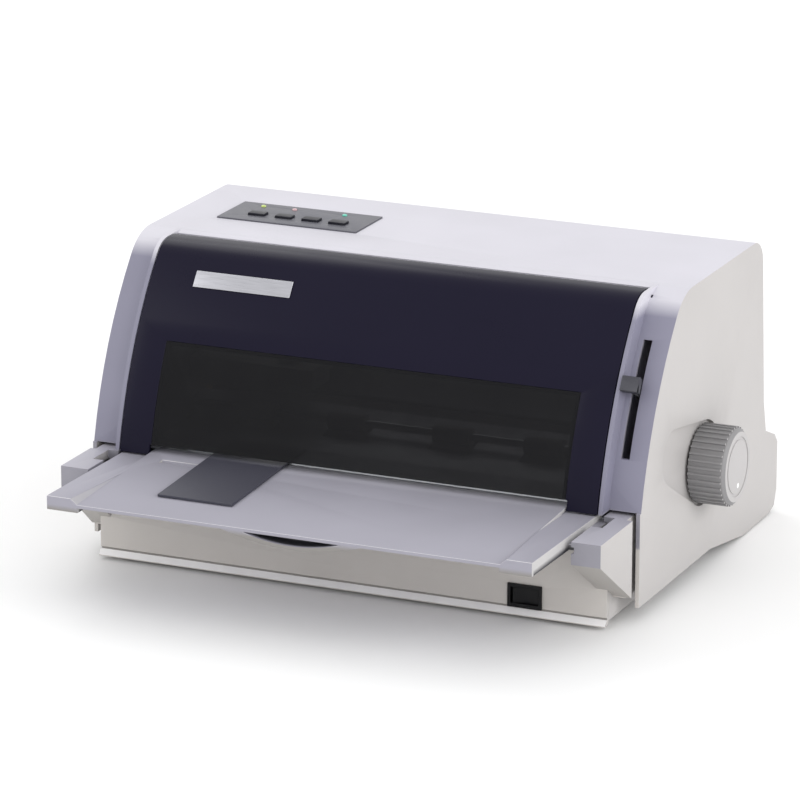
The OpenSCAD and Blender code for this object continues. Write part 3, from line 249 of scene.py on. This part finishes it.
def moulded(name, colour, roughness, grain=0.5 * MM, depth=0.02 * MM, tone=0.05, **more):
    """Dull plastic of one colour, whose darkest patches are darker by the share tone."""
    finish = Finish(name, roughness=roughness, **more)
    patches = finish.noise(PATCH_SIZE, PATCH_DETAIL)
    fine = finish.noise(grain, GRAIN_DETAIL)
    finish.set(base_color=finish.mix(finish.span(patches, *NOISE_RANGE), shade(colour, 1 - tone), colour))
    finish.set(roughness=finish.span(patches + fine * GRAIN_IN_GLOSS, *GLOSS_RANGE,
                                     roughness - GLOSS_SWING, roughness + GLOSS_SWING))
    finish.set(normal=finish.bump(fine, depth))
    return finish


FLOOR_TONE = (0.95, 0.95, 0.95)
pale_floor = Finish("pale_floor", base_color=FLOOR_TONE, roughness=0.9, specular_ior_level=0.1)
floor.data.materials.append(pale_floor.material)

cover_plastic = moulded("navy_cover", (0.0092, 0.0078, 0.0215), 0.30, depth=0.006 * MM,
                        specular_ior_level=0.12)
guide_plastic = moulded("guide_dark", (0.052, 0.052, 0.072), 0.45)
panel_plastic = moulded("panel_silver", (0.115, 0.115, 0.138), 0.42, tone=0.10)
button_plastic = moulded("button_navy", (0.012, 0.012, 0.02), 0.35, specular_ior_level=0.25)
black_plastic = moulded("black_plastic", (0.007, 0.007, 0.008), 0.5, specular_ior_level=0.25)
carriage_plastic = moulded("carriage_grey", (0.20, 0.20, 0.20), 0.5)
lever_plastic = moulded("lever_grey", (0.055, 0.055, 0.068), 0.45)
gear_plastic = moulded("gear_natural", (0.72, 0.70, 0.62), 0.45)
print("finishes so far:", len(bpy.data.materials))

# %% [markdown]
# ## Plastic in several tones
# The case looks as if it had four paints: a pale top, lavender cheeks, neutral sides and a beige base.
# Light does part of that, and painted light and shade do the rest, so the paint's tone follows where the
# surface is and which way it faces. Each rule mixes one more tone over the ones before it.

# %% Painted plastic
PATCH_TONES = (0.95, 1.0)
# a painted highlight on sloping edges and along the case's foot; the knob's index dot takes the same tone
HIGHLIGHT_AND_DOT_PAINT = (0.93, 0.92, 0.92)
BASE_LINE = 61 * MM             # lavender above it, beige below


def painted(name, roughness, plain, rules):
    """Moulded plastic whose tone is plain, with each (share, tone) of rules(finish, facing) over it."""
    finish = moulded(name, plain, roughness)
    normal = finish.node("ShaderNodeNewGeometry", output="Normal")
    facing = {axis: finish.axis(axis, normal) for axis in "XYZ"}
    tone = plain
    for share, other in rules(finish, facing):
        tone = finish.mix(share, tone, other)
    patches = finish.span(finish.noise(PATCH_SIZE, PATCH_DETAIL), *NOISE_RANGE, *PATCH_TONES)
    finish.set(base_color=finish.tint(tone, patches))
    return finish


print("base line at", round(BASE_LINE / MM, 1))

# %% [markdown]
# ## The case
# The case is two mouldings. Its front is a dark lavender from the base line up to the crown, a little
# higher on the cheeks: painted shade on the front. Above that the top is a paler lavender, lightened with
# painted light, and so are the shoulders' tops, while their fronts and all faces that look down get painted
# shade. The sides are neutral, and the base is beige, lightened with painted light where the table shades
# it, with a painted highlight along its foot. The cheeks, the shoulders and the sides are told apart by how
# far out they are, as a share of the case's half width.

# %% Case paint
# the crown's paler lavender: painted light on the top
TOP_PAINT_LIT = (0.635, 0.622, 0.682)
# the front's dark lavender: painted shade
CHEEK_PAINT_SHADED = (0.243, 0.237, 0.312)
# painted light on the shoulders' upward faces
SHOULDER_TOP_LIT = (0.425, 0.415, 0.472)
# painted shade on the shoulders' fronts
SHOULDER_FRONT_SHADED = (0.295, 0.288, 0.330)
SIDE_PAINT = (0.484, 0.465, 0.458)
# beige, lightened with painted light where the table shades the base front
BASE_BEIGE_LIT = (0.595, 0.565, 0.536)
SHADED_PAINT = (0.400, 0.380, 0.360)
SHOULDER_LINE = 47 * MM
CROWN_LINE = 168 * MM
CHEEK_RISE = 9 * MM             # how much higher the cheeks' lavender ends
REAR_OF_CHEEKS = 108 * MM

SHOULDER_OUT = (0.80, 0.84)     # shares of the half width over which each begins
CHEEK_OUT = (0.86, 0.875)
SIDE_OUT = (0.90, 0.93)
CHEEK_BLUR = 8 * MM
LINE_BLUR = 1 * MM
CROWN_BLUR = 4 * MM
SHOULDER_CAP = (3 * MM, 1 * MM)     # over the top of the shoulders
FOOT_HEIGHT = (12 * MM, 8 * MM)

NOT_REARWARD = (0.8, 0.3)       # how far a normal leans, from where a rule starts to where it is full
FORWARD = (-0.2, -0.6)
SIDEWAYS = (0.35, 0.75)         # squared, so that both sides count
UPWARD = (0.70, 0.90)
DOWNWARD = (-0.15, -0.45)
FOOT_SLOPE = (-0.25, -0.45)     # Z times Y, on faces that look up and forward

case_low, case_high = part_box("upper_case")
case_middle = (case_low.x + case_high.x) / 2
case_half = (case_high.x - case_low.x) / 2
shoulder_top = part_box("lower_case")[1].z


def case_rules(finish, facing):
    height = finish.axis("Z")
    across = finish.axis("X") - case_middle
    away = across * across
    shoulder, cheek, outer = [finish.span(away, (start * case_half) ** 2, (full * case_half) ** 2)
                              for start, full in (SHOULDER_OUT, CHEEK_OUT, SIDE_OUT)]
    front = finish.span(finish.axis("Y"), REAR_OF_CHEEKS, REAR_OF_CHEEKS - CHEEK_BLUR)
    line = height - BASE_LINE + shoulder * (BASE_LINE - SHOULDER_LINE)
    upper = finish.span(line, -LINE_BLUR, LINE_BLUR) * front
    on_shoulder = finish.span(height, *(shoulder_top + over for over in SHOULDER_CAP)) * upper
    lit_crown = finish.span(height - cheek * CHEEK_RISE, CROWN_LINE - CROWN_BLUR, CROWN_LINE + CROWN_BLUR)
    not_rear = finish.span(facing["Y"], *NOT_REARWARD)
    forward = finish.span(facing["Y"], *FORWARD)
    sideways = finish.span(facing["X"] * facing["X"], *SIDEWAYS) * outer
    up = finish.span(facing["Z"], *UPWARD)
    down = finish.span(facing["Z"], *DOWNWARD)
    # painted highlight along the base's foot
    foot_highlight = finish.span(facing["Z"] * facing["Y"], *FOOT_SLOPE) * finish.span(height, *FOOT_HEIGHT)
    # Painted light and shade: the base front lightened, the front and the shoulders' fronts darkened, the
    # shoulders' tops and the crown lightened, faces that look down darkened, and a painted highlight along
    # the foot.
    return [(forward, BASE_BEIGE_LIT), (upper, CHEEK_PAINT_SHADED), (on_shoulder, SHOULDER_FRONT_SHADED),
            (up * on_shoulder, SHOULDER_TOP_LIT), (lit_crown * not_rear, TOP_PAINT_LIT), (sideways, SIDE_PAINT),
            (down, SHADED_PAINT), (foot_highlight, HIGHLIGHT_AND_DOT_PAINT)]


case_finish = painted("case_pale", 0.48, SIDE_PAINT, case_rules)
print("case finish nodes:", len(case_finish.tree.nodes), "shoulders end at", round(shoulder_top / MM, 1))

# %% [markdown]
# ## The paper table
# The table is one lavender moulding. Its lip and rims get a painted highlight along their sloping edges,
# and the sides of its rims that face right are painted lighter, as painted light. Under the lip is a pocket
# for a fingertip that pulls the table out; the pocket and the lip's lower front are painted dark, as
# painted shade.

# %% Table paint
TABLE_PAINT = (0.355, 0.346, 0.404)
# painted light on the table's faces that look right
RIM_SIDE_LIT = (0.520, 0.510, 0.510)
# painted shade on the front faces under the lip
GRIP_SHADE = (0.270, 0.256, 0.244)
# painted shade inside the finger pocket
POCKET_SHADE = (0.040, 0.040, 0.046)
UNDER_LIP = (2 * MM, -1 * MM)       # over the base line
POCKET_DEPTH = (1 * MM, 3 * MM)     # behind the front of the lip
LIP_FORWARD = (-0.5, -0.8)
EDGE_SLOPE = (-0.30, -0.45)
RIM_SIDEWAYS = (0.5, 0.8)
table_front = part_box("paper_table")[0].y


def table_rules(finish, facing):
    low = finish.span(finish.axis("Z"), *(BASE_LINE + over for over in UNDER_LIP))
    forward = finish.span(facing["Y"], *LIP_FORWARD)
    shade_in_pocket = finish.span(finish.axis("Y"), *(table_front + behind for behind in POCKET_DEPTH)) * low
    # painted highlight on the lip's and rims' sloping edges
    edge_highlight = finish.span(facing["Z"] * facing["Y"], *EDGE_SLOPE) * (1 - low)
    lit_rim_side = finish.span(facing["X"], *RIM_SIDEWAYS)
    return [(lit_rim_side, RIM_SIDE_LIT), (forward * low, GRIP_SHADE), (shade_in_pocket, POCKET_SHADE), (edge_highlight, HIGHLIGHT_AND_DOT_PAINT)]


table_plastic = painted("table_lavender", 0.50, TABLE_PAINT, table_rules)
print("table finish nodes:", len(table_plastic.tree.nodes))

# %% [markdown]
# ## The hand knob
# The knob is one grey moulding with a dull ribbed side, a flat face and one index dot. Its flat face and
# hub are painted paler, as painted light, and its ribbed side darker, as painted shade. The dot is taken as
# paint, so it is a small circle in the finish and not a piece, and it adds nothing to the knob's length.

# %% Knob paint
# painted shade on the knob's ribbed side
KNOB_SIDE_SHADED = (0.250, 0.245, 0.250)
# painted light on the knob's face and hub
KNOB_FACE_LIT = (0.465, 0.450, 0.450)
FACE_RADIUS = (20.5 * MM, 20 * MM)      # from its soft outer edge inwards
FACE_OUTWARD = (0.75, 0.95)
DOT_PLACE = (1 * MM, -12 * MM)          # from the knob's middle, along Y and Z
DOT_RADIUS = 1.6 * MM
DOT_BLUR = 0.2 * MM
knob_low, knob_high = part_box("platen_knob")
knob_middle = (knob_low + knob_high) / 2


def knob_rules(finish, facing):
    along = finish.axis("Y") - knob_middle.y
    above = finish.axis("Z") - knob_middle.z
    lit_hub = finish.span(along * along + above * above, *(radius ** 2 for radius in FACE_RADIUS))
    lit_face = finish.span(facing["X"], *FACE_OUTWARD)
    beside, over = along - DOT_PLACE[0], above - DOT_PLACE[1]
    dot = finish.span(beside * beside + over * over, (DOT_RADIUS + DOT_BLUR) ** 2,
                      (DOT_RADIUS - DOT_BLUR) ** 2) * lit_face
    return [(lit_face, KNOB_FACE_LIT), (lit_hub, KNOB_FACE_LIT), (dot, HIGHLIGHT_AND_DOT_PAINT)]


knob_plastic = painted("knob_grey", 0.50, KNOB_SIDE_SHADED, knob_rules)
print("knob middle at", [round(c / MM, 1) for c in knob_middle])

# %% [markdown]
# ## Smoked window
# The window is clear acrylic dyed dark grey. It shows a little of the works behind it and a glossy
# reflection, so it is a shiny dark surface that lets some light through by its alpha.

# %% Window
WINDOW_DARK = (0.0080, 0.0080, 0.0095)
WINDOW_DUSTY = (0.0100, 0.0100, 0.0115)
DUST_SIZE = 30 * MM
DUST_DETAIL = 3
DUST_RANGE = (0.3, 0.8)
WINDOW_ROUGHNESS = (0.05, 0.12)
window_finish = Finish("smoked_window", specular_ior_level=0.14, alpha=0.85)
dust = window_finish.noise(DUST_SIZE, DUST_DETAIL)
dusty = window_finish.span(dust, *NOISE_RANGE)
window_finish.set(base_color=window_finish.mix(dusty, WINDOW_DARK, WINDOW_DUSTY))
window_finish.set(roughness=window_finish.span(dust, *DUST_RANGE, *WINDOW_ROUGHNESS))
print("window finish nodes:", len(window_finish.tree.nodes))

# %% [markdown]
# ## Metals and rubber
# Sheet steel is zinc plated, with a faint spangle; shafts are ground, with rings round their length;
# rubber is dull. Metal's marks are noise again, stretched along the piece where it was ground or brushed.

# %% Metals and rubber
MARK_DETAIL = 3
MARK_SHADE = 0.85
MARK_GLOSS = (-0.06, 0.08)      # added to the roughness, from the darkest mark to the palest


def metal(name, colour, roughness, scratch, stretch=(1, 1, 1), depth=0.004 * MM):
    """Metal with marks about scratch metres across, pulled out by stretch."""
    finish = Finish(name, metallic=1.0)
    marks = finish.noise(scratch, MARK_DETAIL, stretch)
    finish.set(base_color=finish.mix(finish.span(marks, *NOISE_RANGE), shade(colour, MARK_SHADE), colour))
    finish.set(roughness=finish.span(marks, *NOISE_RANGE, *(roughness + more for more in MARK_GLOSS)))
    finish.set(normal=finish.bump(marks, depth))
    return finish


zinc_sheet = metal("zinc_sheet", (0.56, 0.57, 0.60), 0.38, 9 * MM)
ground_steel = metal("ground_steel", (0.66, 0.66, 0.68), 0.22, 0.4 * MM, (1, 0.05, 0.05))
bronze = metal("sintered_bronze", (0.50, 0.33, 0.14), 0.40, 0.5 * MM)
head_alloy = metal("cast_alloy", (0.42, 0.43, 0.45), 0.45, 1.5 * MM, depth=0.02 * MM)
badge_metal = metal("brushed_badge", (0.55, 0.55, 0.59), 0.32, 0.5 * MM, (0.04, 1, 1))
motor_black = metal("motor_black", (0.05, 0.05, 0.055), 0.42, 2 * MM)
rubber = moulded("black_rubber", (0.016, 0.016, 0.017), 0.75, grain=0.8 * MM, depth=0.03 * MM)
pale_rubber = moulded("pale_rubber", (0.36, 0.35, 0.33), 0.7, grain=0.8 * MM, depth=0.03 * MM)
print("finishes so far:", len(bpy.data.materials))

# %% [markdown]
# ## Circuit board
# A board is glass fibre with copper tracks under a green lacquer. The tracks stand a little proud and
# look paler. Nobody can follow them from outside, so the joints of a brick pattern do for tracks.

# %% Circuit board
TRACK_PITCH = 14 * MM
TRACK_WIDTH = 0.02              # as a share of the pitch
TRACK_HEIGHT = 0.03 * MM
LACQUER = (0.010, 0.070, 0.025)
LACQUER_ON_TRACK = (0.030, 0.150, 0.060)
LACQUER_PATCH = (0.006, 0.040, 0.016)
BLOTCH_SIZE = 6 * MM
BLOTCH_DETAIL = 2
BLOTCH_RANGE = (0.2, 0.8)
BLOTCH_SHARE = (0, 0.4)


def board_lacquer(name):
    """Green lacquer over tracks: thin lines of a brick pattern stand a little proud."""
    finish = Finish(name, roughness=0.3)
    tracks = finish.node("ShaderNodeTexBrick", {"offset": 0.5},
                         {"Vector": finish.place, "Scale": 1 / TRACK_PITCH, "Mortar Size": TRACK_WIDTH},
                         output="Fac")
    blotches = finish.span(finish.noise(BLOTCH_SIZE, BLOTCH_DETAIL), *BLOTCH_RANGE, *BLOTCH_SHARE)
    green = finish.mix(tracks, LACQUER, LACQUER_ON_TRACK)
    finish.set(base_color=finish.mix(blotches, green, LACQUER_PATCH))
    finish.set(normal=finish.bump(tracks, TRACK_HEIGHT))
    return finish


board_green = board_lacquer("board_green")
print("tracks every", round(TRACK_PITCH / MM, 1))

# %% [markdown]
# ## Lamp lenses
# The three lamps are one row of clear caps: yellow green, pink and teal. Their finish tells them apart
# by their place along the panel, between the two gaps in the row.

# %% Lenses
LAMP_GAPS = (-132.7 * MM, -104.7 * MM)
LAMP_COLOURS = ((0.50, 0.62, 0.16), (0.55, 0.36, 0.38), (0.12, 0.55, 0.42))
LAMP_GLOW = 0.2
SPECKLE_SIZE = 1.2 * MM
SPECKLE_DETAIL = 2
SPECKLE_TONES = (0.75, 1.0)


def lamp_caps(name, gaps, colours, glow):
    """Translucent caps, a little lit from inside; each gap along X starts the next colour."""
    finish = Finish(name, roughness=0.2, coat_weight=0.4, emission_strength=glow)
    colour = colours[0]
    for gap, other in zip(gaps, colours[1:]):
        colour = finish.mix(finish.axis("X") > gap, colour, other)
    speckle = finish.span(finish.noise(SPECKLE_SIZE, SPECKLE_DETAIL), *NOISE_RANGE, *SPECKLE_TONES)
    finish.set(base_color=finish.tint(colour, speckle), emission_color=colour)
    return finish


lens_finish = lamp_caps("lamp_caps", LAMP_GAPS, LAMP_COLOURS, LAMP_GLOW)
print("finishes:", len(bpy.data.materials))

# %% [markdown]
# ## Dressing the solids
# A solid arrives as loose triangles with knife-sharp edges. Modifiers weld them, melt flat triangles
# together, round every sharp edge a little and smooth the shading, without touching the solid itself.
# Every moulded piece gets the radius that its mould would have.

# %% Dress
WELD_DISTANCE = 0.002 * MM
FLAT_WITHIN = math.radians(0.6)
SHARP_FROM = math.radians(32)
ROUND_SEGMENTS = 3


def rounded(piece, radius):
    weld = piece.modifiers.new("weld", "WELD")
    weld.merge_threshold = WELD_DISTANCE
    melt = piece.modifiers.new("melt", "DECIMATE")
    melt.decimate_type = "DISSOLVE"
    melt.angle_limit = FLAT_WITHIN
    bevel = piece.modifiers.new("round", "BEVEL")
    bevel.width = radius
    bevel.segments = ROUND_SEGMENTS
    bevel.limit_method = "ANGLE"
    bevel.angle_limit = SHARP_FROM
    bevel.harden_normals = True
    bevel.miter_outer = "MITER_ARC"


def smooth(piece):
    for polygon in piece.data.polygons:
        polygon.use_smooth = True


def dress(finish, radius, *nodes):
    """Gives each named solid its finish and, where radius isn't 0, rounded edges."""
    for name in nodes:
        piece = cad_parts[name]
        piece.data.materials.clear()
        piece.data.materials.append(finish.material)
        if radius:
            smooth(piece)
            rounded(piece, radius)


dress(case_finish, 1.2 * MM, "upper_case", "lower_case")
dress(cover_plastic, 1.0 * MM, "front_cover")
dress(window_finish, 0, "cover_window")
dress(badge_metal, 0.25 * MM, "badge_plate")
dress(table_plastic, 0.8 * MM, "paper_table")
dress(guide_plastic, 0.5 * MM, "paper_guide")
dress(panel_plastic, 0.4 * MM, "control_panel")
dress(button_plastic, 0.5 * MM, "button_1", "button_2", "button_3", "button_4")
dress(black_plastic, 0.3 * MM, "switch_housing", "power_rocker", "power_inlet", "data_port",
      "inner_shroud")
dress(carriage_plastic, 0.3 * MM, "carriage_body", "ribbon_cartridge")
dress(knob_plastic, 0.35 * MM, "platen_knob")
dress(lever_plastic, 0.4 * MM, "gap_lever")
dress(gear_plastic, 0, "platen_gear", "idler_gear", "feed_gear")
dress(zinc_sheet, 0, "left_frame", "right_frame", "front_stay", "path_plate", "rear_path_plate",
      "carriage_rail")
dress(ground_steel, 0, "guide_rod", "platen_shaft", "feed_shaft", "pinch_shaft", "drive_pulley",
      "idler_pulley", "lever_pin", "case_screws")
dress(bronze, 0, "platen_bushes", "motor_pinion")
dress(head_alloy, 0.3 * MM, "print_head")
dress(motor_black, 0.6 * MM, "carriage_motor", "feed_motor")
dress(rubber, 0, "platen_roller", "timing_belt", "rubber_feet")
dress(pale_rubber, 0, "feed_rollers", "pinch_rollers")
dress(board_green, 0, "panel_board", "main_board", "power_supply")
dress(lens_finish, 0, "indicator_lenses")
bare = [name for name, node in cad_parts.items() if not node.data.materials]
print("solids without a finish:", bare)

# %% [markdown]
# ## Lamp domes
# The lamp caps are flat in CAD. Each real one ends in a low dome that stands a little proud of the panel:
# a profile turned once round its axis. It is made in place, so its object stays at the origin, and it
# rides with the body that carries it.

# %% Turned pieces
LAMP_X = (-143.5 * MM, -122 * MM, -87.5 * MM)
DOME_PROFILE = ((1, -0.3), (1, 0.2), (0.85, 0.55), (0.5, 0.8), (0, 0.9))    # share of radius, height in mm
TURN_STEPS = 24
MERGE_DISTANCE = 0.001 * MM


def turned(name, profile, place, finish, body):
    """Spins (radius, height) points round Z and moves the result to its place."""
    mesh = bmesh.new()
    points = [mesh.verts.new((radius, 0, height)) for radius, height in profile]
    chain = [mesh.edges.new(pair) for pair in zip(points, points[1:])]
    bmesh.ops.spin(mesh, geom=points + chain, cent=(0, 0, 0), axis=(0, 0, 1), angle=math.tau,
                   steps=TURN_STEPS, use_merge=True, use_duplicate=False)
    bmesh.ops.remove_doubles(mesh, verts=mesh.verts, dist=MERGE_DISTANCE)
    bmesh.ops.recalc_face_normals(mesh, faces=mesh.faces)
    bmesh.ops.transform(mesh, matrix=Matrix.Translation(place), verts=mesh.verts)
    piece = bpy.data.objects.new(name, bpy.data.meshes.new(name))
    mesh.to_mesh(piece.data)
    mesh.free()
    bpy.context.scene.collection.objects.link(piece)
    piece.data.materials.append(finish.material)
    smooth(piece)
    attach(piece, body)


lens_low, lens_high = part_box("indicator_lenses")
lens_radius = (lens_high.y - lens_low.y) / 2
dome = [(share * lens_radius, height * MM) for share, height in DOME_PROFILE]
for number, x in enumerate(LAMP_X, 1):
    top = Vector((x, (lens_low.y + lens_high.y) / 2, lens_high.z))
    turned(f"lamp_dome_{number}", dome, top, lens_finish, "chassis")
print("lamp radius", round(lens_radius / MM, 2), "top", round(lens_high.z / MM, 2))

# %% [markdown]
# The finishes and domes must not make the printer larger than its solids.
